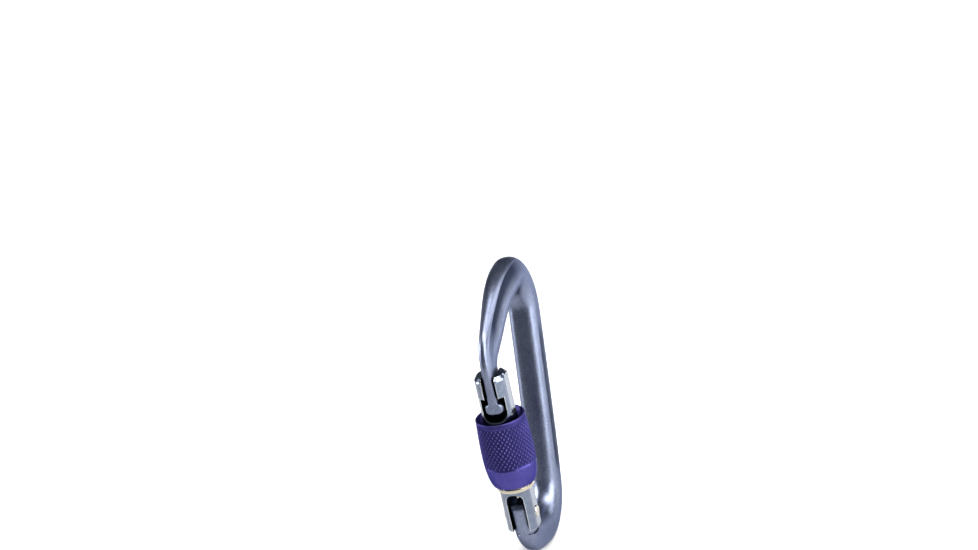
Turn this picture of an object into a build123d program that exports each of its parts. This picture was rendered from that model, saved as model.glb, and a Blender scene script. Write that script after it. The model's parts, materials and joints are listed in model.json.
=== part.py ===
"""Screw-lock carabiner: a forged ring closed by a sprung gate and a threaded locking sleeve.

Millimetres, +Z up along the closed gate's axis, gate on the +X side, spine on the -X side.
The origin is the seat inside the top bow, where the carabiner hangs from its anchor.
"""
import math
import os

from build123d import *

# --- Ring (the forged body) ------------------------------------------------------------
SEAT_FROM_GATE = 34.4       # gate axis to anchor seat, along X
HINGE_BELOW_SEAT = 58.9     # hinge rivet to anchor seat, along Z
RING_CORNERS = [            # centre line of the bar, from the hinge rivet, corners unrounded
    (0.0, 0.0),
    (0.0, -10.5),
    (-28.2, -17.3),
    (-53.0, 64.5),
    (-23.9, 64.5),
    (0.0, 53.2),
    (0.0, 46.2),
]
CORNER_RADII = [12.0, 14.5, 13.0, 38.0, 8.0]
SECTIONS_PER_RUN = 5        # sections lofted along each straight run or arc
BAR_TABLE = [               # place along the centre line, half depth, half thickness
    (0.00, 3.9, 3.3),
    (0.06, 4.7, 3.7),
    (0.14, 5.3, 4.2),
    (0.25, 5.4, 4.6),
    (0.55, 5.3, 4.7),
    (0.73, 5.6, 4.5),
    (0.77, 5.8, 4.2),
    (0.83, 6.1, 3.5),
    (0.91, 6.2, 2.7),
    (0.95, 6.0, 2.3),
    (1.00, 4.8, 1.9),
]
SECTION_ROUNDING = 0.62     # corner radius as a share of the smaller half size

# --- Channels of the I-section ---------------------------------------------------------
CHANNEL_SPANS = [(0.29, 0.58), (0.75, 0.91)]  # spine, bow
CHANNEL_HALF_WIDTH = 1.6
CHANNEL_DEPTH = 0.9
CHANNEL_END_DEPTH = 0.12

# --- Gate rod --------------------------------------------------------------------------
GATE_RADIUS = 5.4
GATE_BOTTOM = -4.6          # heights along the gate are measured from the hinge rivet
GATE_TOP = 47.8
HALF_FLATS = 4.8            # half width across the milled flats
LOWER_FLATS_TOP = 9.4
UPPER_FLATS_BOTTOM = 34.6
COLLAR_RADIUS = 5.8
COLLAR_BOTTOM = 9.4
COLLAR_TOP = 10.3
EAR_TOP_CHAMFER = 1.0
FLATS_CHAMFER = 0.4
MOUTH_CHAMFER = 0.25        # broken edges round the keyhole, the fork and the ear tips
THREAD_ROOT_RADIUS = 5.0    # the rod is turned down to the thread's root here
THREAD_BOTTOM = 10.9
THREAD_TOP = 30.0
HEEL_RADIUS = 3.2           # rounding of the ears' lower inner corner

# --- Nose and the keyhole slot that takes it --------------------------------------------
NOSE_FRONT = 4.7
NOSE_BACK = -3.6
NOSE_HALF_WIDTH = 1.85
NOSE_TOP = 48.2
HEAD_BOTTOM = 35.7
HEAD_TOP = 39.1
HEAD_HALF_WIDTH = 3.2
EAR_SWEEP = 48.7            # ear tips pass inside this radius about the rivet
MOUTH_HALF_WIDTH = 2.15
POCKET_HALF_WIDTH = 3.8
POCKET_BOTTOM = 33.4
POCKET_TOP = 41.0
POCKET_BOTTOM_RADIUS = 2.8
POCKET_TOP_RADIUS = 0.9
WEB_FACE = -3.75            # back wall of the keyhole, where the gate closes on the nose
WEB_TOP = 44.6

# --- Hinge -----------------------------------------------------------------------------
FORK_HALF_WIDTH = 2.7
FORK_ARCH = 8.3
TANG_HALF_WIDTH = 2.25
TANG_FRONT = 3.9
TANG_BACK = -4.2
TANG_CREST = 4.3
TANG_ROUNDING = 2.4
SHOULDER_RADIUS = 7.5       # body shoulders stand clear of the swinging ears
RIVET_RADIUS = 1.5
RIVET_HOLE_IN_TANG = 1.55
RIVET_HOLE_IN_EARS = 1.52
RIVET_HEAD_RADIUS = 1.9
RIVET_HEAD_HEIGHT = 0.5
GATE_OPENING = 40.0         # degrees, inwards

# --- Return spring and its plunger ------------------------------------------------------
BORE_RADIUS = 2.1
BORE_TOP = 24.5
PLUNGER_RADIUS = 2.04
PLUNGER_SHOULDER = 9.0
PLUNGER_TOP = 12.0
TIP_RADIUS = 1.1
CAM_BASE = 4.5              # rivet to plunger tip, gate closed
CAM_LIFT = 2.2              # millimetres of plunger travel per radian of gate swing
CAM_CLEARANCE = 0.05
WIRE_RADIUS = 0.3
COIL_RADIUS = 1.6
COIL_TURNS = 9

# --- Locking sleeve ---------------------------------------------------------------------
SLEEVE_BOTTOM = 11.1
SLEEVE_TOP = 33.6
SLEEVE_BORE = 5.48
COUNTERBORE_RADIUS = 7.1
COUNTERBORE_BOTTOM = 22.5
SLEEVE_OUTLINE = [          # radius, height
    (6.7, SLEEVE_BOTTOM),
    (7.75, 14.6),
    (8.25, 19.0),
    (8.25, 22.0),
    (8.0, 29.5),
    (7.75, SLEEVE_TOP),
]

HINGE = Vector(SEAT_FROM_GATE, 0, -HINGE_BELOW_SEAT)
SIDE = Plane(origin=HINGE, x_dir=(1, 0, 0), z_dir=(0, -1, 0))     # local x outwards, local y up
FRONT = Plane(origin=HINGE, x_dir=(0, 1, 0), z_dir=(1, 0, 0))     # local x across, local y up


def level(height):
    """Horizontal plane centred on the gate axis, at a height above the rivet."""
    return Plane(origin=HINGE + Vector(0, 0, height))


def between(table, place):
    """Read a table of (place, value, value ...) rows at a place between its rows."""
    for low, high in zip(table, table[1:]):
        if place <= high[0]:
            share = (place - low[0]) / (high[0] - low[0])
            return [a + (b - a) * share for a, b in zip(low[1:], high[1:])]
    return list(table[-1][1:])


with BuildLine(SIDE) as ring_path:
    FilletPolyline(*RING_CORNERS, radius=CORNER_RADII)
RING = ring_path.wire()


def bar_plane(place):
    """Plane square to the bar's centre line, local x pointing out of the ring, local y along Y."""
    along = RING.tangent_at(place)
    outward = along.cross(Vector(0, -1, 0))
    return Plane(origin=RING.position_at(place), x_dir=outward, z_dir=along)


def runs(start, end):
    """The straight runs and arcs of a stretch of the centre line, each as (start, end)."""
    places = [0.0]
    for edge in RING.edges():
        places.append(min(1.0, places[-1] + edge.length / RING.length))
    return [
        (max(low, start), min(high, end))
        for low, high in zip(places, places[1:])
        if low < end and high > start
    ]


def steps(start, end, count):
    """Evenly spaced places from start to end."""
    return [start + (end - start) * index / (count - 1) for index in range(count)]


def cam_points():
    """Tang top: the plunger tip's spiral path, set in by the tip's radius."""
    points = []
    for degrees_back in range(-8, 41, 8):
        angle = math.radians(degrees_back)
        radius = CAM_BASE + TIP_RADIUS + CAM_LIFT * angle
        length = math.hypot(radius, CAM_LIFT)
        out = (TIP_RADIUS + CAM_CLEARANCE) * radius / length
        side = (TIP_RADIUS + CAM_CLEARANCE) * CAM_LIFT / length
        reach = radius - out
        points.append((
            -reach * math.sin(angle) - side * math.cos(angle),
            reach * math.cos(angle) - side * math.sin(angle),
        ))
    return points


def upright_edges(part):
    """The flats' long edges on the round of the rod."""
    return part.edges().filter_by(Axis.Z).filter_by(lambda edge: abs(edge.center().Y) > FORK_HALF_WIDTH)


def front_rim_edges(part, low, high):
    """Edges on the rod's front skin between two heights, without its seam line."""
    found = []
    for edge in part.edges():
        middle = edge @ 0.5 - HINGE
        on_skin = math.hypot(middle.X, middle.Y) > 0.93 * GATE_RADIUS
        seam = edge.geom_type == GeomType.LINE and abs(middle.Y) < NOSE_HALF_WIDTH
        ridge = edge.geom_type == GeomType.HYPERBOLA or abs(middle.Y) > 4.0
        if low < middle.Z < high and middle.X > 0.5 and on_skin and not seam and not ridge:
            found.append(edge)
    return found


# --- Forged body ------------------------------------------------------------------------
with BuildPart() as body:
    for low, high in runs(0.0, 1.0):
        for place in steps(low, high, SECTIONS_PER_RUN):
            half_depth, half_thickness = between(BAR_TABLE, place)
            with BuildSketch(bar_plane(place)):
                rounding = SECTION_ROUNDING * min(half_depth, half_thickness)
                RectangleRounded(2 * half_depth, 2 * half_thickness, rounding)
        loft()

    # Channels on both flat sides, fading out at their ends.
    for start, end in CHANNEL_SPANS:
        for low, high in runs(start, end):
            for side in (1, -1):
                for place in steps(low, high, SECTIONS_PER_RUN):
                    half_thickness = between(BAR_TABLE, place)[1]
                    fade = math.sin(math.pi * (place - start) / (end - start)) ** 0.5
                    depth = CHANNEL_END_DEPTH + (CHANNEL_DEPTH - CHANNEL_END_DEPTH) * fade
                    with BuildSketch(bar_plane(place)):
                        with Locations((0, side * half_thickness)):
                            Ellipse(CHANNEL_HALF_WIDTH * (0.5 + 0.5 * fade), depth)
                loft(mode=Mode.SUBTRACT)

    for side in (1, -1):
        # Round shoulders that the gate's ears swing past.
        with BuildSketch(SIDE.offset(side * TANG_HALF_WIDTH)):
            Circle(SHOULDER_RADIUS)
        extrude(amount=side * GATE_RADIUS, mode=Mode.SUBTRACT)
        # Room beside the nose for the ear tips.
        with BuildSketch(SIDE.offset(side * NOSE_HALF_WIDTH)):
            Circle(EAR_SWEEP)
            with Locations((0, EAR_SWEEP)):
                Rectangle(4 * GATE_RADIUS, 2 * GATE_RADIUS, mode=Mode.INTERSECT)
        extrude(amount=side * GATE_RADIUS, mode=Mode.SUBTRACT)

    # Hinge tang, its top a cam for the spring plunger.
    cam = cam_points()
    with BuildSketch(SIDE):
        with BuildLine():
            cam_edge = Spline(*cam)
            crest = Line(cam[0], (TANG_FRONT - TANG_ROUNDING, TANG_CREST))
            front = RadiusArc(crest @ 1, (TANG_FRONT, TANG_CREST - TANG_ROUNDING), TANG_ROUNDING)
            Polyline(front @ 1, (TANG_FRONT, -SHOULDER_RADIUS), (TANG_BACK, -SHOULDER_RADIUS), cam_edge @ 1)
        make_face()
    extrude(amount=TANG_HALF_WIDTH, both=True)

    # Nose: slim neck and cross head.
    with BuildSketch(SIDE):
        with Locations(((NOSE_FRONT + NOSE_BACK) / 2, (HEAD_BOTTOM + NOSE_TOP) / 2)):
            Rectangle(NOSE_FRONT - NOSE_BACK, NOSE_TOP - HEAD_BOTTOM)
    extrude(amount=NOSE_HALF_WIDTH, both=True)
    with BuildSketch(FRONT.offset(NOSE_BACK)):
        with Locations((0, (HEAD_BOTTOM + HEAD_TOP) / 2)):
            RectangleRounded(2 * HEAD_HALF_WIDTH, HEAD_TOP - HEAD_BOTTOM, 1.2)
    extrude(amount=NOSE_FRONT - NOSE_BACK)

    with BuildSketch(SIDE.offset(-GATE_RADIUS)):
        Circle(RIVET_HOLE_IN_TANG)
    extrude(amount=2 * GATE_RADIUS, mode=Mode.SUBTRACT)
body.part.label = "body"

# --- Gate -------------------------------------------------------------------------------
with BuildPart() as gate:
    with BuildSketch(level(GATE_BOTTOM)):
        Circle(GATE_RADIUS)
    extrude(amount=GATE_TOP - GATE_BOTTOM)
    chamfer(gate.faces().sort_by(Axis.Z)[-1].edges(), EAR_TOP_CHAMFER)
    with BuildSketch(level(COLLAR_BOTTOM)):
        Circle(COLLAR_RADIUS)
    extrude(amount=COLLAR_TOP - COLLAR_BOTTOM)

    # Threaded length, turned down to the thread's root.
    with BuildSketch(level(THREAD_BOTTOM)):
        Circle(GATE_RADIUS)
        Circle(THREAD_ROOT_RADIUS, mode=Mode.SUBTRACT)
    extrude(amount=THREAD_TOP - THREAD_BOTTOM, mode=Mode.SUBTRACT)

    # Flats milled on both sides, above and below the threaded length.
    for low, high in ((GATE_BOTTOM, LOWER_FLATS_TOP), (UPPER_FLATS_BOTTOM, GATE_TOP)):
        for side in (1, -1):
            with BuildSketch(level(low)):
                with Locations((0, side * 1.5 * HALF_FLATS)):
                    Rectangle(2 * GATE_RADIUS, HALF_FLATS)
            extrude(amount=high - low, mode=Mode.SUBTRACT)
    chamfer(upright_edges(gate), FLATS_CHAMFER)

    # Keyhole slot for the nose, open at the front, closed by a web at the back.
    with BuildSketch(FRONT.offset(WEB_FACE)):
        with Locations((0, (POCKET_BOTTOM + POCKET_TOP) / 2)):
            Rectangle(2 * POCKET_HALF_WIDTH, POCKET_TOP - POCKET_BOTTOM)
        corners = vertices().group_by(Axis.Y)
        fillet(corners[0], POCKET_BOTTOM_RADIUS)
        fillet(corners[-1], POCKET_TOP_RADIUS)
        with Locations((0, (POCKET_TOP + GATE_TOP) / 2)):
            Rectangle(2 * MOUTH_HALF_WIDTH, GATE_TOP - POCKET_TOP + 1)
    extrude(amount=2 * GATE_RADIUS, mode=Mode.SUBTRACT)
    with BuildSketch(FRONT.offset(-GATE_RADIUS)):
        with Locations((0, (WEB_TOP + GATE_TOP) / 2)):
            Rectangle(2 * MOUTH_HALF_WIDTH, GATE_TOP - WEB_TOP)
    extrude(amount=GATE_RADIUS, mode=Mode.SUBTRACT)

    # Fork over the tang, with its heel rounded about the rivet.
    with BuildSketch(FRONT.offset(-GATE_RADIUS)):
        with Locations((0, (GATE_BOTTOM + FORK_ARCH) / 2)):
            Rectangle(2 * FORK_HALF_WIDTH, FORK_ARCH - GATE_BOTTOM)
        fillet(vertices().group_by(Axis.Y)[-1], 0.9 * FORK_HALF_WIDTH)
    extrude(amount=2 * GATE_RADIUS, mode=Mode.SUBTRACT)
    with BuildSketch(SIDE):
        with Locations((-GATE_RADIUS, GATE_BOTTOM)):
            Rectangle(2 * HEEL_RADIUS, 2 * HEEL_RADIUS)
        with Locations((HEEL_RADIUS - GATE_RADIUS, GATE_BOTTOM + HEEL_RADIUS)):
            Circle(HEEL_RADIUS, mode=Mode.SUBTRACT)
    extrude(amount=2 * GATE_RADIUS, both=True, mode=Mode.SUBTRACT)
    slot_heights = (
        (UPPER_FLATS_BOTTOM - 2, GATE_TOP - EAR_TOP_CHAMFER / 2),
        (GATE_BOTTOM - 1, COLLAR_BOTTOM - 0.1),
    )
    for low, high in slot_heights:
        chamfer(front_rim_edges(gate, low, high), MOUTH_CHAMFER)

    with BuildSketch(SIDE.offset(-GATE_RADIUS)):
        Circle(RIVET_HOLE_IN_EARS)
    extrude(amount=2 * GATE_RADIUS, mode=Mode.SUBTRACT)
    with BuildSketch(level(FORK_ARCH - 1)):
        Circle(BORE_RADIUS)
    extrude(amount=BORE_TOP - FORK_ARCH + 1, mode=Mode.SUBTRACT)
gate.part.label = "gate"

# --- Hinge rivet ------------------------------------------------------------------------
with BuildPart() as hinge_rivet:
    with BuildSketch(SIDE.offset(-HALF_FLATS)):
        Circle(RIVET_RADIUS)
    extrude(amount=2 * HALF_FLATS)
    for side in (1, -1):
        with BuildSketch(SIDE.offset(side * HALF_FLATS)):
            Circle(RIVET_HEAD_RADIUS)
        extrude(amount=side * RIVET_HEAD_HEIGHT, taper=35)
hinge_rivet.part.label = "hinge_rivet"

# --- Spring plunger ---------------------------------------------------------------------
with BuildPart() as spring_plunger:
    with BuildSketch(SIDE):
        with BuildLine():
            tip = CenterArc((0, CAM_BASE + TIP_RADIUS), TIP_RADIUS, -90, 90)
            outline = Polyline(
                tip @ 1,
                (TIP_RADIUS, PLUNGER_SHOULDER),
                (PLUNGER_RADIUS, PLUNGER_SHOULDER),
                (PLUNGER_RADIUS, PLUNGER_TOP),
                (0, PLUNGER_TOP),
            )
            Line(outline @ 1, tip @ 0)
        make_face()
    revolve(axis=Axis(HINGE, (0, 0, 1)))
spring_plunger.part.label = "spring_plunger"

# --- Return spring ----------------------------------------------------------------------
with BuildPart() as return_spring:
    coil_height = BORE_TOP - PLUNGER_TOP - 2 * WIRE_RADIUS - 0.1
    coil_foot = HINGE + Vector(0, 0, PLUNGER_TOP + WIRE_RADIUS + 0.05)
    with BuildLine() as coil:
        Helix(coil_height / COIL_TURNS, coil_height, COIL_RADIUS, center=coil_foot)
    with BuildSketch(Plane(origin=coil.line @ 0, z_dir=coil.line % 0)):
        Circle(WIRE_RADIUS)
    sweep(is_frenet=True)
return_spring.part.label = "return_spring"

# --- Locking sleeve ---------------------------------------------------------------------
with BuildPart() as locking_sleeve:
    with BuildSketch(SIDE):
        with BuildLine():
            outside = Spline(*SLEEVE_OUTLINE)
            inside = Polyline(
                outside @ 1,
                (COUNTERBORE_RADIUS, SLEEVE_TOP),
                (COUNTERBORE_RADIUS, COUNTERBORE_BOTTOM),
                (SLEEVE_BORE, COUNTERBORE_BOTTOM),
                (SLEEVE_BORE, SLEEVE_BOTTOM),
            )
            Line(inside @ 1, outside @ 0)
        make_face()
    revolve(axis=Axis(HINGE, (0, 0, 1)))
locking_sleeve.part.label = "locking_sleeve"

os.makedirs("parts", exist_ok=True)
for piece in (body, gate, hinge_rivet, spring_plunger, return_spring, locking_sleeve):
    export_step(piece.part, "parts/" + piece.part.label + ".step")
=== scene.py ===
"""Locking carabiner: the detailed visual model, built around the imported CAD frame.

Shapes are worked out in millimetres in the ring's own plane, measured from the hinge rivet:
x outwards (away from the spine), y across the flat sides, z up along the gate.
"""

import json
import math

import bmesh
import bpy
from mathutils import Matrix, Vector


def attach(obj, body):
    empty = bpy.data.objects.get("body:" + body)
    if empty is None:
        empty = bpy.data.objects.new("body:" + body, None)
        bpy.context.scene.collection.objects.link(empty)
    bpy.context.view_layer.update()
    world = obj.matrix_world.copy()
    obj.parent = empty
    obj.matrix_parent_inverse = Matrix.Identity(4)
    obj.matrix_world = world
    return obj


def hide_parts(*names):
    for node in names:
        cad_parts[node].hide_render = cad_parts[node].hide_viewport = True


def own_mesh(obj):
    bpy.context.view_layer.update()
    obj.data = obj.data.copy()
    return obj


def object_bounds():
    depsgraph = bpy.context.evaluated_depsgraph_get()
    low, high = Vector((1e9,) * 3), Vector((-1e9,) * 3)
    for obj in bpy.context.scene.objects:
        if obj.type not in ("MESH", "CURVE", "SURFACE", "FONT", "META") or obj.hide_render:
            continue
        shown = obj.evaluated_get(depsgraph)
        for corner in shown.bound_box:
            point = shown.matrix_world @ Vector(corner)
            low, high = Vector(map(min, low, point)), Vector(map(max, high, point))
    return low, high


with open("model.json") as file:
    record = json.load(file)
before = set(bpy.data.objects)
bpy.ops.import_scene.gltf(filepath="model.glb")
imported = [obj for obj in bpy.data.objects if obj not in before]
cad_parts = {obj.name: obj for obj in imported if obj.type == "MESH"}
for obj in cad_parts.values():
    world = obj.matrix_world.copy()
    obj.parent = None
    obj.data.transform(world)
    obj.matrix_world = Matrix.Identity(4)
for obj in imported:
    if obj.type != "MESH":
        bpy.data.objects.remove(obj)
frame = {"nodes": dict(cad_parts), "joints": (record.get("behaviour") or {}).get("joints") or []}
cad_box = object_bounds()

MM = 0.001
GATE_HINGE = next(joint for joint in frame["joints"] if joint["name"] == "gate_hinge")
HINGE = Vector(GATE_HINGE["pos_m"])

# --- Ring (body) ------------------------------------------------------------------------
RING_CORNERS = [            # centre line of the bar, corners unrounded
    (0.0, 4.3),
    (0.0, -10.5),
    (-28.2, -17.3),
    (-53.0, 64.5),
    (-23.9, 64.5),
    (0.0, 53.2),
    (0.0, 35.7),
]
CORNER_RADII = [12.0, 14.5, 13.0, 38.0, 8.0]
TANG_TOP = 4.3
BAR_TABLE = [               # distance from the rivet; half depth outwards and inwards;
    # half thickness of the outer and inner rims; boxiness of the section
    (-4.3, 3.9, 4.2, 3.3, 3.3, 2.6),
    (3.0, 3.9, 4.1, 3.4, 3.4, 2.5),
    (9.0, 4.5, 4.5, 3.7, 3.7, 2.3),
    (22.7, 5.3, 5.3, 4.2, 4.2, 2.1),
    (40.5, 5.4, 5.4, 4.6, 4.6, 2.3),
    (60.0, 5.4, 5.4, 4.65, 4.65, 3.1),
    (92.0, 5.3, 5.3, 4.65, 4.65, 3.2),
    (113.0, 5.4, 5.4, 4.5, 4.7, 2.4),
    (122.0, 5.6, 5.6, 4.3, 4.8, 2.3),
    (130.0, 5.8, 5.8, 3.9, 4.6, 2.4),
    (140.0, 6.1, 6.1, 3.3, 3.9, 2.4),
    (152.0, 6.2, 6.2, 2.4, 3.0, 2.4),
    (158.0, 6.0, 6.0, 2.0, 2.4, 2.5),
    (163.0, 5.3, 5.4, 1.9, 2.1, 2.6),
    (167.0, 4.7, 4.3, 1.85, 1.85, 3.4),
    (169.5, 4.7, 3.6, 1.85, 1.85, 4.0),
    (178.0, 4.7, 3.6, 1.85, 1.85, 4.0),
]
CHANNEL_TABLE = [           # distance from the rivet; channel depth, middle, half widths out and in
    (-4.3, 0.0, 0.3, 2.7, 2.7),
    (43.0, 0.0, 0.3, 2.7, 2.7),
    (52.0, 0.85, 0.3, 2.7, 2.7),
    (88.0, 0.85, 0.3, 2.7, 2.7),
    (99.0, 0.0, 0.3, 2.7, 2.7),
    (112.0, 0.0, 2.4, 1.9, 3.6),
    (126.0, 1.1, 2.6, 1.9, 4.2),
    (148.0, 1.15, 2.7, 2.0, 4.4),
    (156.0, 0.55, 2.4, 1.9, 4.2),
    (164.0, 0.0, 1.6, 1.8, 3.4),
    (178.0, 0.0, 1.6, 1.8, 3.4),
]
CHANNEL_FLOOR = 0.35        # flat share of the channel's width
POINTS_AROUND = 112
STATION_STEP = 0.45
FINE_STEP = 0.14
END_ROUNDING = 0.5
TANG_HALF_WIDTH = 2.25
TANG_FRONT_ROUNDING = 2.4
CAM_RISE = 0.07             # tang top rises towards its back, for the spring plunger
SHOULDER_RADIUS = 7.1       # pocket for the swinging ears, about the rivet
SHOULDER_SLOPE = 0.53       # the pocket's wall draws in with distance from the tang
SHOULDER_EDGE = 0.35
HEAD_BOTTOM = 35.7
HEAD_TOP = 39.1
HEAD_HALF_WIDTH = 3.2
HEAD_ROUNDING = 1.4

# --- Locking sleeve ---------------------------------------------------------------------
SLEEVE_BOTTOM = 11.1
SLEEVE_TOP = 33.6
SLEEVE_OUTLINE = [          # height, radius
    (11.1, 6.85),
    (12.6, 7.35),
    (15.0, 7.86),
    (18.2, 8.18),
    (21.0, 8.26),
    (25.0, 8.19),
    (29.5, 7.99),
    (33.6, 7.76),
]
FOOT_ROUNDING = 0.45
RIM_ROUNDING = 0.22
ROW_STEP = 0.5              # mesh rows on the plain band
SLEEVE_BORE = 5.48
COUNTERBORE_RADIUS = 7.1
COUNTERBORE_BOTTOM = 22.5
BORE_CHAMFER = 0.3
FOOT_CHAMFER = 0.4
MOUTH_CHAMFER = 0.12
KNURL_BOTTOM = 18.0
KNURL_TOP = 32.3
RIM_HEIGHTS = (32.45, 32.7, 33.0, 33.2)     # mesh rows on the plain rim
KNURLS_AROUND = 36
KNURLS_UP = 8
KNURL_DEPTH = 0.45
KNURL_SAMPLES = 6           # mesh steps per diamond
KNURL_STEEPNESS = 1.35      # above 1 the diamonds are cut off flat
KNURL_PAINTED_SHADE = 0.27       # painted shade: the knurled part is coloured darker,
RIM_PAINTED_SHADE = 0.5          # and darker still on the rim above it and inside
# painted shade, deepest in the knurl's grooves
GROOVE_PAINTED_SHADE = 0.4

# --- Gate thread, rivet and spring ------------------------------------------------------
THREAD_BOTTOM = 10.9
THREAD_TOP = 30.0
THREAD_ROOT = 5.0
THREAD_CREST = 5.4
THREAD_LEAD = 2.5
THREAD_HALF_ROOT = 0.85     # half widths of the ridge
THREAD_HALF_CREST = 0.3
THREAD_FADE = 0.5           # turns over which each end of the ridge runs out
THREAD_SINK = 0.1           # the ridge's foot lies this deep in the rod
RIVET_HALF_LENGTH = 4.8
RIVET_HEAD = [              # radius, distance past the gate's flat
    (0.02, 0.24),
    (0.35, 0.25),
    (0.7, 0.33),
    (1.0, 0.46),
    (1.2, 0.5),
    (1.5, 0.44),
    (1.75, 0.28),
    (1.88, 0.1),
    (1.88, 0.0),
    (1.5, -0.02),
]
SPRING_BOTTOM = 12.05
SPRING_TOP = 24.4
SPRING_TURNS = 9
COIL_RADIUS = 1.6
WIRE_RADIUS = 0.3

# --- Colours of the metal ---------------------------------------------------------------
DYED_GLANCE = (0.42, 0.44, 0.52, 1)     # dyed oxide stays tinted at glancing angles
PAINTED_WARM_REFLECTION = (0.42, 0.36, 0.24)         # the gate's bare collar, its warm tint a painted reflection
COLLAR_BAND = (9.3, 10.9)               # its heights above the rivet

# --- Camera and studio ------------------------------------------------------------------
CAMERA_TARGET = Vector((-6.4, -6.7, 4.8)) * MM
CAMERA_DISTANCE = 0.7644
CAMERA_AZIMUTH = 108.0      # 90 looks along -X
CAMERA_ELEVATION = 20.36
CAMERA_ROLL = -12.74
CAMERA_LENS = 88.8


# --- Small helpers ----------------------------------------------------------------------
def smoothstep(low, high, value):
    """0 below low, 1 above high, and smooth between."""
    share = min(1.0, max(0.0, (value - low) / (high - low)))
    return share * share * (3 - 2 * share)


def read_table(table, place):
    """Values of a table of (place, value, ...) rows at a place, eased through its rows."""
    rows = len(table)
    for index in range(rows - 1):
        if place <= table[index + 1][0] or index == rows - 2:
            break
    before, low, high = table[max(index - 1, 0)], table[index], table[index + 1]
    after = table[min(index + 2, rows - 1)]
    span = high[0] - low[0]
    share = min(1.0, max(0.0, (place - low[0]) / span))
    values = []
    for column in range(1, len(low)):
        slopes = []
        for first, middle, last in ((before, low, high), (low, high, after)):
            rise = (middle[column] - first[column]) / max(middle[0] - first[0], 1e-9)
            fall = (last[column] - middle[column]) / max(last[0] - middle[0], 1e-9)
            slopes.append(0.0 if rise * fall <= 0 else 2 * rise * fall / (rise + fall))
        a, b = low[column], high[column]
        t2, t3 = share ** 2, share ** 3
        values.append(
            a * (2 * t3 - 3 * t2 + 1) + slopes[0] * span * (t3 - 2 * t2 + share)
            + b * (3 * t2 - 2 * t3) + slopes[1] * span * (t3 - t2)
        )
    return values


def place_point(x, y, z):
    """A point in millimetres from the hinge rivet, as a point of the frame in metres."""
    return HINGE + Vector((x, y, z)) * MM


def make_object(name, verts, faces, sharp_angle=35):
    """A smooth-shaded object from points in millimetres from the rivet, creased where it is sharp."""
    mesh = bpy.data.meshes.new(name)
    mesh.from_pydata([place_point(*vert) for vert in verts], [], faces)
    build = bmesh.new()
    build.from_mesh(mesh)
    bmesh.ops.recalc_face_normals(build, faces=build.faces)
    build.to_mesh(mesh)
    build.free()
    mesh.shade_smooth()
    mesh.set_sharp_from_angle(angle=math.radians(sharp_angle))
    obj = bpy.data.objects.new(name, mesh)
    bpy.context.scene.collection.objects.link(obj)
    return obj


def store_hollows(obj, hollows):
    """Keeps how deep each vertex lies in a channel or groove, 0 to 1, for the material to read, which
    paints shade there and roughens it; on the sleeve the value also carries the painted shade of its
    knurl and rim.
    """
    obj.data.attributes.new("hollow", "FLOAT", "POINT").data.foreach_set("value", hollows)


def ring_faces(rings, around, closed=False):
    """Quads that join rings of points, each with the same number of points."""
    faces = []
    for ring in range(rings if closed else rings - 1):
        upper = (ring + 1) % rings
        for index in range(around):
            after = (index + 1) % around
            faces.append((
                ring * around + index,
                ring * around + after,
                upper * around + after,
                upper * around + index,
            ))
    return faces


# --- Body -------------------------------------------------------------------------------
def path_pieces():
    """The ring's centre line as straight runs and arcs, each with its length."""
    pieces = []
    start = Vector(RING_CORNERS[0])
    for index, radius in enumerate(CORNER_RADII, 1):
        corner = Vector(RING_CORNERS[index])
        back = (Vector(RING_CORNERS[index - 1]) - corner).normalized()
        ahead = (Vector(RING_CORNERS[index + 1]) - corner).normalized()
        turn = math.pi - back.angle(ahead)
        set_back = radius * math.tan(turn / 2)
        first, last = corner + back * set_back, corner + ahead * set_back
        centre = corner + (back + ahead).normalized() * radius / math.cos(turn / 2)
        pieces.append(("line", start, first, (first - start).length))
        pieces.append(("arc", first, centre, radius * turn))
        start = last
    end = Vector(RING_CORNERS[-1])
    pieces.append(("line", start, end, (end - start).length))
    return pieces


def ring_at(pieces, distance):
    """Point and direction on the centre line at a distance along it. The ring turns clockwise."""
    for index, (kind, start, other, length) in enumerate(pieces):
        if distance <= length or index == len(pieces) - 1:
            break
        distance -= length
    if kind == "line":
        direction = (other - start).normalized()
        return start + direction * distance, direction
    arm = start - other
    angle = -distance / arm.length
    arm = Vector((
        arm.x * math.cos(angle) - arm.y * math.sin(angle),
        arm.x * math.sin(angle) + arm.y * math.cos(angle),
    ))
    return other + arm, Vector((arm.y, -arm.x)).normalized()


def station_distances(total):
    """Distances along the ring, close together at the tang, its shoulders and the nose."""
    distances = [0.0]
    while distances[-1] < total:
        here = distances[-1]
        fine = here < 14.5 or here > total - 6
        near_end = min(here, total - here) < END_ROUNDING
        step = FINE_STEP / 2 if near_end else FINE_STEP if fine else STATION_STEP
        distances.append(here + step)
    distances[-1] = total
    return distances


def head_half_width(height):
    """Half width of the nose's cross head at a height, 0 away from it."""
    middle = (HEAD_BOTTOM + HEAD_TOP) / 2
    flat = (HEAD_TOP - HEAD_BOTTOM) / 2 - HEAD_ROUNDING
    past = max(0.0, abs(height - middle) - flat)
    if past > HEAD_ROUNDING:
        return 0.0
    return HEAD_HALF_WIDTH - HEAD_ROUNDING + math.sqrt(HEAD_ROUNDING ** 2 - past ** 2)


def end_inset(from_end):
    """How far the section draws in near the bar's ends, for rounded edges."""
    if from_end >= END_ROUNDING:
        return 0.0
    rest = END_ROUNDING - from_end
    return END_ROUNDING - math.sqrt(END_ROUNDING ** 2 - rest ** 2)


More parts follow.
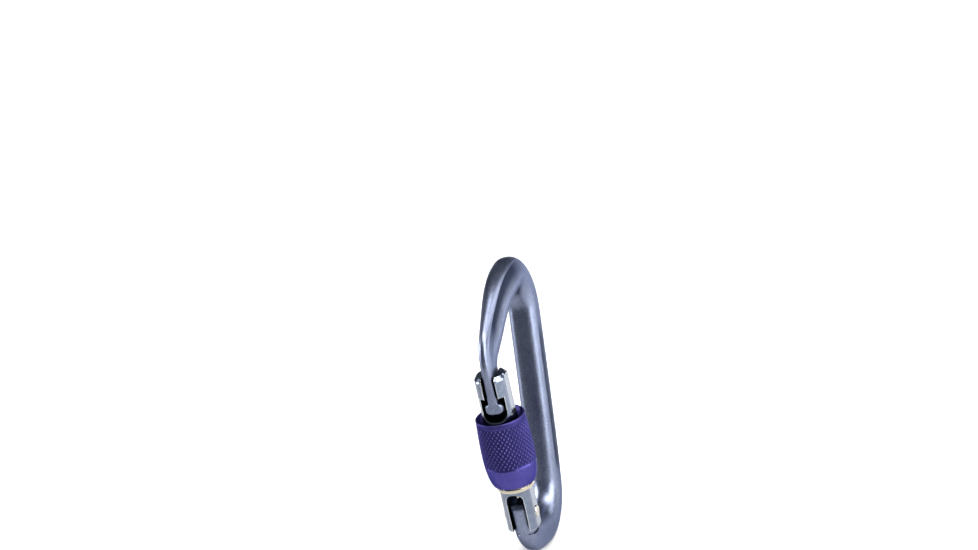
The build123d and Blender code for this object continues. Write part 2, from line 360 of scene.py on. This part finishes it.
def bar_section(distance, total, centre, direction):
    """Points round the bar at one station, and how deep in a channel each of them lies."""
    from_rivet = distance - TANG_TOP
    outwards, inwards, outer_rim, inner_rim, boxiness = read_table(BAR_TABLE, from_rivet)
    channel, channel_middle, width_out, width_in = read_table(CHANNEL_TABLE, from_rivet)
    inset = end_inset(min(distance, total - distance))
    if distance < TANG_FRONT_ROUNDING:
        past = TANG_FRONT_ROUNDING - distance
        outwards -= TANG_FRONT_ROUNDING - math.sqrt(TANG_FRONT_ROUNDING ** 2 - past ** 2)
    if distance > total / 2:
        head = head_half_width(centre.y)
        outer_rim, inner_rim = max(outer_rim, head), max(inner_rim, head)
    outwards, inwards = outwards - inset, inwards - inset
    normal = Vector((-direction.y, direction.x))
    points, hollows = [], []
    for index in range(POINTS_AROUND):
        angle = 2 * math.pi * index / POINTS_AROUND
        cosine, sine = math.cos(angle), math.sin(angle)
        reach = math.copysign(abs(cosine) ** (2 / boxiness), cosine)
        reach *= outwards if cosine > 0 else inwards
        share = (reach + inwards) / (outwards + inwards)
        across = inner_rim + (outer_rim - inner_rim) * share - inset
        side = abs(sine) ** (2 / boxiness) * across
        past_middle = reach - channel_middle
        offset = past_middle / (width_out if past_middle > 0 else width_in)
        side -= channel * smoothstep(1.0, CHANNEL_FLOOR, abs(offset))
        full_depth = 0.7 if offset > 0 else 0.25
        hollows.append(min(1.0, channel) * smoothstep(0.95, full_depth, abs(offset)))
        spot = centre + normal * reach
        if distance < total / 2:
            edge = smoothstep(0, SHOULDER_EDGE, spot.length - SHOULDER_RADIUS)
            wall = TANG_HALF_WIDTH + (SHOULDER_RADIUS - spot.length) / SHOULDER_SLOPE
            allowed = max(wall, TANG_HALF_WIDTH + edge * (across - TANG_HALF_WIDTH))
            slim = abs(sine) ** (2 / boxiness) * (TANG_HALF_WIDTH - inset)
            in_the_clear = smoothstep(0, SHOULDER_EDGE, allowed - TANG_HALF_WIDTH)
            side = slim + (max(slim, min(side, allowed)) - slim) * in_the_clear
        rise = CAM_RISE * max(0.0, -reach) * smoothstep(2.0, 0.0, distance)
        points.append((spot.x, math.copysign(side, sine), spot.y + rise))
    return points, hollows


def build_body():
    """The forged ring with its channels, hinge tang and nose, swept as one skin."""
    pieces = path_pieces()
    total = sum(piece[3] for piece in pieces)
    verts, hollows = [], []
    distances = station_distances(total)
    for distance in distances:
        centre, direction = ring_at(pieces, distance)
        points, depths = bar_section(distance, total, centre, direction)
        verts += points
        hollows += depths
    faces = ring_faces(len(distances), POINTS_AROUND)
    faces.append(tuple(reversed(range(POINTS_AROUND))))
    last = (len(distances) - 1) * POINTS_AROUND
    faces.append(tuple(range(last, last + POINTS_AROUND)))
    body = make_object("ring_body", verts, faces)
    store_hollows(body, hollows)
    return body


# --- Locking sleeve ---------------------------------------------------------------------
def knurl_height(across, up):
    """0 in the grooves and 1 on the diamonds' tops, for places counted in diamonds."""
    heights = []
    for phase in (across + up, across - up):
        heights.append(abs(2 * (phase % 1.0) - 1))
    return min(1.0, KNURL_STEEPNESS * (1 - max(heights)))


def sleeve_rows(pitch):
    """Rings of the sleeve's skin: height, radius or None on the outline, and knurl depth."""
    foot, rows = SLEEVE_OUTLINE[0][1] - FOOT_ROUNDING, []
    for share in (0.0, 0.15, 0.35, 0.6, 1.0):
        flare = FOOT_ROUNDING * math.sqrt(1 - (1 - share) ** 2)
        rows.append((SLEEVE_BOTTOM + FOOT_ROUNDING * share, foot + flare, 0.0))
    height = SLEEVE_BOTTOM + FOOT_ROUNDING + 0.4
    while height < KNURL_BOTTOM:
        rows.append((height, None, 0.0))
        height += ROW_STEP
    for step in range(KNURLS_UP * KNURL_SAMPLES + 1):
        ends = min(step, KNURLS_UP * KNURL_SAMPLES - step) / KNURL_SAMPLES
        depth = KNURL_DEPTH * smoothstep(-0.1, 0.45, ends)
        rows.append((KNURL_BOTTOM + step * pitch / KNURL_SAMPLES, None, depth))
    rows += [(height, None, 0.0) for height in RIM_HEIGHTS]
    low, inside = SLEEVE_TOP - RIM_ROUNDING, SLEEVE_OUTLINE[-1][1] - RIM_ROUNDING
    for share in (0.0, 0.3, 0.7, 1.0):
        turn = math.pi / 2 * share
        rows.append((low + RIM_ROUNDING * math.sin(turn), inside + RIM_ROUNDING * math.cos(turn), 0.0))
    inner = (
        (SLEEVE_TOP, COUNTERBORE_RADIUS + MOUTH_CHAMFER),
        (SLEEVE_TOP - MOUTH_CHAMFER, COUNTERBORE_RADIUS),
        (COUNTERBORE_BOTTOM + BORE_CHAMFER, COUNTERBORE_RADIUS),
        (COUNTERBORE_BOTTOM, COUNTERBORE_RADIUS - BORE_CHAMFER),
        (COUNTERBORE_BOTTOM, SLEEVE_BORE + BORE_CHAMFER),
        (COUNTERBORE_BOTTOM - BORE_CHAMFER, SLEEVE_BORE),
        (SLEEVE_BOTTOM + FOOT_CHAMFER, SLEEVE_BORE),
        (SLEEVE_BOTTOM, SLEEVE_BORE + FOOT_CHAMFER),
    )
    return rows + [(height, radius, 0.0) for height, radius in inner]


def build_sleeve():
    """The screw sleeve: turned skin with a diamond knurl, a counterbore above and a plain bore."""
    around = KNURLS_AROUND * KNURL_SAMPLES
    pitch = (KNURL_TOP - KNURL_BOTTOM) / KNURLS_UP
    rows = sleeve_rows(pitch)
    verts, hollows = [], []
    for height, radius, depth in rows:
        base = read_table(SLEEVE_OUTLINE, height)[0] if radius is None else radius
        for index in range(around):
            angle = 2 * math.pi * index / around
            cut = 0.0
            if depth:
                up = (height - KNURL_BOTTOM) / pitch
                cut = depth * (1 - knurl_height(index / KNURL_SAMPLES, up))
            verts.append(((base - cut) * math.cos(angle), (base - cut) * math.sin(angle), height))
            # painted shade: darker on the knurled band, darker still on the rim, deepest in the grooves
            painted_shade = KNURL_PAINTED_SHADE if height > KNURL_BOTTOM else 0.0
            if height > KNURL_TOP:
                painted_shade = RIM_PAINTED_SHADE
            hollows.append(painted_shade + GROOVE_PAINTED_SHADE * cut / KNURL_DEPTH)
    sleeve = make_object("knurled_sleeve", verts, ring_faces(len(rows), around, closed=True), 50)
    store_hollows(sleeve, hollows)
    return sleeve


# --- Gate thread, rivet and spring ------------------------------------------------------
def build_thread():
    """The gate's external screw thread: one ridge wound round the turned-down rod."""
    per_turn = 96
    turns = (THREAD_TOP - THREAD_BOTTOM - 2 * THREAD_HALF_ROOT) / THREAD_LEAD
    foot, lowest_crest = THREAD_ROOT - THREAD_SINK, THREAD_ROOT - THREAD_SINK / 2
    steps = int(turns * per_turn)
    verts = []
    for step in range(steps + 1):
        turn = step / per_turn
        angle = 2 * math.pi * turn
        height = THREAD_BOTTOM + THREAD_HALF_ROOT + turn * THREAD_LEAD
        run_out = smoothstep(0, THREAD_FADE, turn) * smoothstep(0, THREAD_FADE, turns - turn)
        crest = lowest_crest + (THREAD_CREST - lowest_crest) * run_out
        section = (
            (foot, -THREAD_HALF_ROOT),
            (crest, -THREAD_HALF_CREST),
            (crest, THREAD_HALF_CREST),
            (foot, THREAD_HALF_ROOT),
        )
        for radius, lift in section:
            verts.append((radius * math.cos(angle), radius * math.sin(angle), height + lift))
    faces = ring_faces(steps + 1, 4)
    faces.append((3, 2, 1, 0))
    faces.append(tuple(steps * 4 + index for index in range(4)))
    return make_object("gate_thread", verts, faces)


def build_rivet():
    """The hinge rivet, lying along Y, with peened and dimpled heads."""
    around = 64
    outline = [(radius, RIVET_HALF_LENGTH + past) for radius, past in RIVET_HEAD]
    outline += [(radius, -place) for radius, place in reversed(outline)]
    verts = []
    for radius, place in outline:
        for index in range(around):
            angle = 2 * math.pi * index / around
            verts.append((radius * math.cos(angle), place, radius * math.sin(angle)))
    faces = ring_faces(len(outline), around)
    faces.append(tuple(range(around)))
    last = (len(outline) - 1) * around
    faces.append(tuple(range(last, last + around)))
    return make_object("peened_rivet", verts, faces, 50)


def build_spring():
    """The coil spring inside the gate, its end coils closed up."""
    per_turn, around = 32, 10
    steps = SPRING_TURNS * per_turn
    height = SPRING_TOP - SPRING_BOTTOM - 2 * WIRE_RADIUS
    verts = []
    for step in range(steps + 1):
        share = step / steps
        angle = 2 * math.pi * SPRING_TURNS * share
        lift = SPRING_BOTTOM + WIRE_RADIUS + height * smoothstep(-0.12, 1.12, share)
        for index in range(around):
            turn = 2 * math.pi * index / around
            radius = COIL_RADIUS + WIRE_RADIUS * math.cos(turn)
            verts.append((
                radius * math.cos(angle),
                radius * math.sin(angle),
                lift + WIRE_RADIUS * math.sin(turn),
            ))
    faces = ring_faces(steps + 1, around)
    faces.append(tuple(range(around)))
    faces.append(tuple(range(steps * around, (steps + 1) * around)))
    return make_object("coil_spring", verts, faces, 60)


# --- Materials --------------------------------------------------------------------------
def new_material(name):
    """An empty node material: its tree, shader and object-space coordinates."""
    material = bpy.data.materials.new(name)
    material.use_nodes = True
    tree = material.node_tree
    shader = tree.nodes["Principled BSDF"]
    where = tree.nodes.new("ShaderNodeTexCoord").outputs["Object"]
    return material, tree, shader, where


def noise(tree, where, size_mm, detail=3.0, stretch=(1, 1, 1)):
    """Noise with features of a size in millimetres, from 0 to 1."""
    mapping = tree.nodes.new("ShaderNodeMapping")
    mapping.inputs["Scale"].default_value = [1 / (size_mm * MM * factor) for factor in stretch]
    tree.links.new(where, mapping.inputs["Vector"])
    texture = tree.nodes.new("ShaderNodeTexNoise")
    texture.inputs["Scale"].default_value = 1.0
    texture.inputs["Detail"].default_value = detail
    tree.links.new(mapping.outputs["Vector"], texture.inputs["Vector"])
    return texture.outputs["Fac"]


def remap(tree, value, low, high, from_low=0.3, from_high=0.7):
    """A value stretched from one range to another, clamped."""
    node = tree.nodes.new("ShaderNodeMapRange")
    node.inputs["From Min"].default_value = from_low
    node.inputs["From Max"].default_value = from_high
    node.inputs["To Min"].default_value = low
    node.inputs["To Max"].default_value = high
    tree.links.new(value, node.inputs["Value"])
    return node.outputs["Result"]


def mix_colour(tree, share, first, second):
    """Two colours mixed by a value; each is a colour or a socket."""
    node = tree.nodes.new("ShaderNodeMix")
    node.data_type = "RGBA"
    tree.links.new(share, node.inputs["Factor"])
    for name, colour in (("A", first), ("B", second)):
        socket = [s for s in node.inputs if s.name == name and s.type == "RGBA"][0]
        if isinstance(colour, tuple):
            socket.default_value = (*colour, 1.0)
        else:
            tree.links.new(colour, socket)
    return [s for s in node.outputs if s.type == "RGBA"][0]


def math_node(tree, operation, first, second):
    """One arithmetic step between sockets or numbers."""
    node = tree.nodes.new("ShaderNodeMath")
    node.operation = operation
    for socket, value in zip(node.inputs, (first, second)):
        if isinstance(value, (int, float)):
            socket.default_value = value
        else:
            tree.links.new(value, socket)
    return node.outputs[0]


def edge_mask(tree, radius_mm):
    """1 on convex and concave edges, where a rounded normal leaves the true one, and 0 elsewhere."""
    bevel = tree.nodes.new("ShaderNodeBevel")
    bevel.samples = 6
    bevel.inputs["Radius"].default_value = radius_mm * MM
    geometry = tree.nodes.new("ShaderNodeNewGeometry")
    dot = tree.nodes.new("ShaderNodeVectorMath")
    dot.operation = "DOT_PRODUCT"
    tree.links.new(bevel.outputs["Normal"], dot.inputs[0])
    tree.links.new(geometry.outputs["Normal"], dot.inputs[1])
    return remap(tree, dot.outputs["Value"], 1.0, 0.0, 0.88, 0.98)


def painted_crevice_shade(tree, colour, reach_mm, darkest):
    """A colour darkened where the surface is closed in, as in grooves and slots: painted shade from
    ambient occlusion.
    """
    occlusion = tree.nodes.new("ShaderNodeAmbientOcclusion")
    occlusion.samples = 8
    occlusion.inputs["Distance"].default_value = reach_mm * MM
    shade = remap(tree, occlusion.outputs["AO"], darkest, 1.0, 0.25, 0.95)
    node = tree.nodes.new("ShaderNodeVectorMath")
    node.operation = "SCALE"
    tree.links.new(colour, node.inputs[0])
    tree.links.new(shade, node.inputs["Scale"])
    return node.outputs["Vector"]


def bump(tree, shader, height, distance_mm):
    """Relief from a height value."""
    node = tree.nodes.new("ShaderNodeBump")
    node.inputs["Strength"].default_value = 1.0
    node.inputs["Distance"].default_value = distance_mm * MM
    tree.links.new(height, node.inputs["Height"])
    tree.links.new(node.outputs["Normal"], shader.inputs["Normal"])


def anodised(name, colour, dark, bare, roughness, grain_mm, grain_depth_mm, wear, painted_tip_highlight, hollow_mm):
    """Satin anodised aluminium: blasted grain lit in spots as a painted glint, soft clouding, thin wear
    on edges, painted shade in hollows and closed-in places, and a painted highlight on pointed tips.
    """
    material, tree, shader, where = new_material(name)
    shader.inputs["Metallic"].default_value = 1.0
    shader.inputs["Specular Tint"].default_value = DYED_GLANCE
    clouds = noise(tree, where, 9.0, 2.0)
    grain = noise(tree, where, grain_mm, 2.0)
    rubs = noise(tree, where, 0.8, 4.0, (1, 1, 9))
    base = mix_colour(tree, remap(tree, clouds, 0.0, 1.0), dark, colour)
    # painted glint: random grain spots lightened to a paler colour
    painted_glint = tuple(min(1.0, channel * 1.5 + 0.04) for channel in colour)
    base = mix_colour(tree, remap(tree, grain, 0.0, 0.7, 0.5, 0.7), base, painted_glint)
    # painted shade: channels, knurl grooves and the sleeve's rim darkened by the hollow value, which
    # also roughens them
    hollow = tree.nodes.new("ShaderNodeAttribute")
    hollow.attribute_name = "hollow"
    painted_hollow_shade = tuple(channel * 0.22 for channel in dark)
    base = mix_colour(tree, hollow.outputs["Fac"], base, painted_hollow_shade)
    # painted highlight: pointed tips, such as the knurl's diamonds, lightened
    pointiness = tree.nodes.new("ShaderNodeNewGeometry").outputs["Pointiness"]
    base = mix_colour(tree, remap(tree, pointiness, 0.0, painted_tip_highlight, 0.51, 0.58), base, painted_glint)
    worn = math_node(tree, "MULTIPLY", edge_mask(tree, 0.35), remap(tree, rubs, 0.0, wear, 0.4, 0.65))
    # painted shade where the surface is closed in, with thin wear on edges over it
    base = mix_colour(tree, worn, painted_crevice_shade(tree, base, hollow_mm, 0.3), bare)
    tree.links.new(base, shader.inputs["Base Color"])
    rough = math_node(tree, "ADD", remap(tree, grain, roughness - 0.05, roughness + 0.08),
                      remap(tree, rubs, -0.03, 0.04))
    rough = math_node(tree, "ADD", rough, remap(tree, hollow.outputs["Fac"], 0.0, 0.15, 0.0, 1.0))
    tree.links.new(rough, shader.inputs["Roughness"])
    bump(tree, shader, grain, grain_depth_mm)
    return material


def band(tree, where, low_mm, high_mm):
    """1 between two heights above the rivet, and 0 elsewhere."""
    split = tree.nodes.new("ShaderNodeSeparateXYZ")
    tree.links.new(where, split.inputs[0])
    edges = [HINGE.z + height * MM for height in (low_mm, high_mm)]
    above = math_node(tree, "GREATER_THAN", split.outputs["Z"], edges[0])
    below = math_node(tree, "LESS_THAN", split.outputs["Z"], edges[1])
    return math_node(tree, "MULTIPLY", above, below)


def polished(name, colour, dark, bare, roughness, line_stretch, warm_reflection_band=None):
    """Machined and tumbled aluminium: fine tool lines, stains, bright broken edges and painted shade
    where the surface is closed in, with an optional warm band that is a painted reflection.
    """
    material, tree, shader, where = new_material(name)
    shader.inputs["Metallic"].default_value = 1.0
    lines = noise(tree, where, 0.12, 3.0, line_stretch)
    stains = noise(tree, where, 1.6, 4.0)
    base = mix_colour(tree, remap(tree, stains, 0.0, 1.0), dark, colour)
    # painted reflection: a warm tint on a band of heights
    if warm_reflection_band:
        base = mix_colour(tree, band(tree, where, *warm_reflection_band), base, PAINTED_WARM_REFLECTION)
    lined = tuple(channel * 0.7 for channel in colour)
    base = mix_colour(tree, remap(tree, lines, 0.0, 0.35), base, lined)
    # painted shade where the surface is closed in, with bright broken edges over it
    base = mix_colour(tree, edge_mask(tree, 0.2), painted_crevice_shade(tree, base, 2.5, 0.3), bare)
    tree.links.new(base, shader.inputs["Base Color"])
    rough = math_node(tree, "ADD", remap(tree, lines, roughness - 0.04, roughness + 0.06),
                      remap(tree, stains, -0.03, 0.05))
    tree.links.new(rough, shader.inputs["Roughness"])
    bump(tree, shader, lines, 0.006)
    return material


def plain_floor(name):
    """Matt pale floor with the faintest mottling."""
    material, tree, shader, where = new_material(name)
    mottle = noise(tree, where, 60.0, 3.0)
    base = mix_colour(tree, remap(tree, mottle, 0.0, 1.0), (0.61, 0.61, 0.62), (0.63, 0.63, 0.63))
    tree.links.new(base, shader.inputs["Base Color"])
    shader.inputs["Roughness"].default_value = 0.8
    shader.inputs["Specular IOR Level"].default_value = 0.1
    return material


def paint(obj, material):
    """One material all over an object."""
    obj.data.materials.clear()
    obj.data.materials.append(material)


# --- Studio -----------------------------------------------------------------------------
def aim(obj, position, target):
    """Puts an object at a position with its -Z axis on a target."""
    obj.location = position
    obj.rotation_euler = (target - position).to_track_quat("-Z", "Y").to_euler()


def soft_light(name, position, target, size, power, spread=180, roll=0):
    """A rectangular softbox. A narrow spread lights the floor and stays out of the metal."""
    light = bpy.data.lights.new(name, "AREA")
    light.shape = "RECTANGLE"
    light.size, light.size_y = size
    light.energy = power
    light.spread = math.radians(spread)
    obj = bpy.data.objects.new(name, light)
    bpy.context.scene.collection.objects.link(obj)
    aim(obj, Vector(position), Vector(target))
    turned = obj.rotation_euler.to_matrix() @ Matrix.Rotation(math.radians(roll), 3, "Z")
    obj.rotation_euler = turned.to_euler()


def build_camera():
    """The photograph's camera: its place, lens and roll."""
    azimuth, elevation = math.radians(CAMERA_AZIMUTH), math.radians(CAMERA_ELEVATION)
    back = Vector((
        math.sin(azimuth) * math.cos(elevation),
        -math.cos(azimuth) * math.cos(elevation),
        math.sin(elevation),
    ))
    right = Vector((0, 0, 1)).cross(back).normalized()
    up = back.cross(right)
    roll = math.radians(CAMERA_ROLL)
    tilted = right * math.cos(roll) + up * math.sin(roll)
    upright = back.cross(tilted)
    data = bpy.data.cameras.new("camera")
    data.lens = CAMERA_LENS
    data.sensor_width = 36
    data.clip_start = 0.01
    camera = bpy.data.objects.new("camera", data)
    turn = Matrix((tilted, upright, back)).transposed().to_4x4()
    camera.matrix_world = Matrix.Translation(CAMERA_TARGET + back * CAMERA_DISTANCE) @ turn
    bpy.context.scene.collection.objects.link(camera)
    bpy.context.scene.camera = camera


def build_floor(height):
    """A wide pale floor under the carabiner."""
    mesh = bpy.data.meshes.new("floor")
    build = bmesh.new()
    bmesh.ops.create_grid(build, x_segments=8, y_segments=8, size=4.0)
    build.to_mesh(mesh)
    build.free()
    floor = bpy.data.objects.new("floor", mesh)
    floor.location.z = height
    bpy.context.scene.collection.objects.link(floor)
    paint(floor, plain_floor("floor_matt"))


def build_world():
    """Dim, even surroundings, so that the metal shows the softboxes against something darker."""
    world = bpy.data.worlds.new("studio")
    world.use_nodes = True
    background = world.node_tree.nodes["Background"]
    background.inputs["Color"].default_value = (0.75, 0.8, 0.95, 1)
    background.inputs["Strength"].default_value = 0.17
    bpy.context.scene.world = world


bpy.context.scene.view_settings.view_transform = "Standard"
bpy.context.scene.view_settings.exposure = 0.3

# --- Assembly ---------------------------------------------------------------------------
body_metal = anodised(
    "body_anodised", (0.126, 0.143, 0.2), (0.1, 0.115, 0.165), (0.6, 0.62, 0.68),
    roughness=0.33, grain_mm=0.3, grain_depth_mm=0.03, wear=0.35, painted_tip_highlight=0.0, hollow_mm=3.0)
sleeve_metal = anodised(
    "sleeve_anodised", (0.046, 0.039, 0.175), (0.033, 0.028, 0.13), (0.25, 0.22, 0.5),
    roughness=0.36, grain_mm=0.12, grain_depth_mm=0.006, wear=0.3, painted_tip_highlight=0.4, hollow_mm=0.7)
gate_metal = polished(
    "gate_polished", (0.15, 0.17, 0.22), (0.1, 0.12, 0.16), (0.75, 0.75, 0.75), 0.17, (1, 1, 14),
    warm_reflection_band=COLLAR_BAND)
thread_metal = polished(
    "gate_thread_metal", (0.62, 0.58, 0.48), (0.5, 0.46, 0.38), (0.85, 0.82, 0.75), 0.22, (9, 9, 1))
rivet_metal = polished(
    "rivet_steel", (0.42, 0.4, 0.35), (0.3, 0.28, 0.24), (0.9, 0.88, 0.84), 0.2, (2, 2, 2))
spring_metal = polished(
    "spring_steel", (0.5, 0.5, 0.5), (0.38, 0.38, 0.38), (0.7, 0.7, 0.7), 0.3, (2, 2, 2))

pieces = (
    (build_body(), "body", "body_anodised", body_metal, "body"),
    (build_sleeve(), "sleeve", "sleeve_anodised", sleeve_metal, "locking_sleeve"),
    (build_thread(), "gate", "gate_polished", thread_metal, None),
    (build_rivet(), "gate", "rivet_steel", rivet_metal, "hinge_rivet"),
    (build_spring(), "gate", "spring_steel", spring_metal, "return_spring"),
)
for piece, rides_on, slot, material, node in pieces:
    paint(piece, material)
    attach(piece, rides_on)
    if node:
        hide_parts(node)
coil = pieces[4][0]
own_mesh(coil)

for node, material in (("gate", gate_metal), ("spring_plunger", rivet_metal)):
    paint(frame["nodes"][node], material)

build_camera()
build_floor(cad_box[0].z)
build_world()
middle = (0.0, 0.0, -0.03)
soft_light("key_right", (0.2, 0.84, 0.46), middle, (0.8, 1.1), 20.0, roll=-46)
soft_light("rim_right", (-0.62, 0.74, 0.38), middle, (0.3, 0.5), 2.5)
soft_light("top", (0.05, 0.12, 0.95), middle, (0.4, 0.6), 9.0)
soft_light("back_wash", (-2.0, 0.3, 1.1), (-2.0, 0.3, -0.07), (2.2, 3.2), 104, spread=75)
soft_light("side_wash", (-0.3, 1.1, 0.9), (-0.4, 1.1, -0.07), (1.4, 1.0), 40, spread=75)
soft_light("front_wash", (1.9, -0.6, 1.0), (1.9, -0.6, -0.07), (1.6, 2.0), 24, spread=75)
soft_light("left_card", (0.05, -0.95, 0.25), (0.03, -0.05, -0.07), (0.4, 0.5), 2.3, spread=80)
soft_light("left_wash", (-0.4, -1.7, 1.0), (-0.4, -1.7, -0.07), (2.0, 1.2), 30, spread=75)
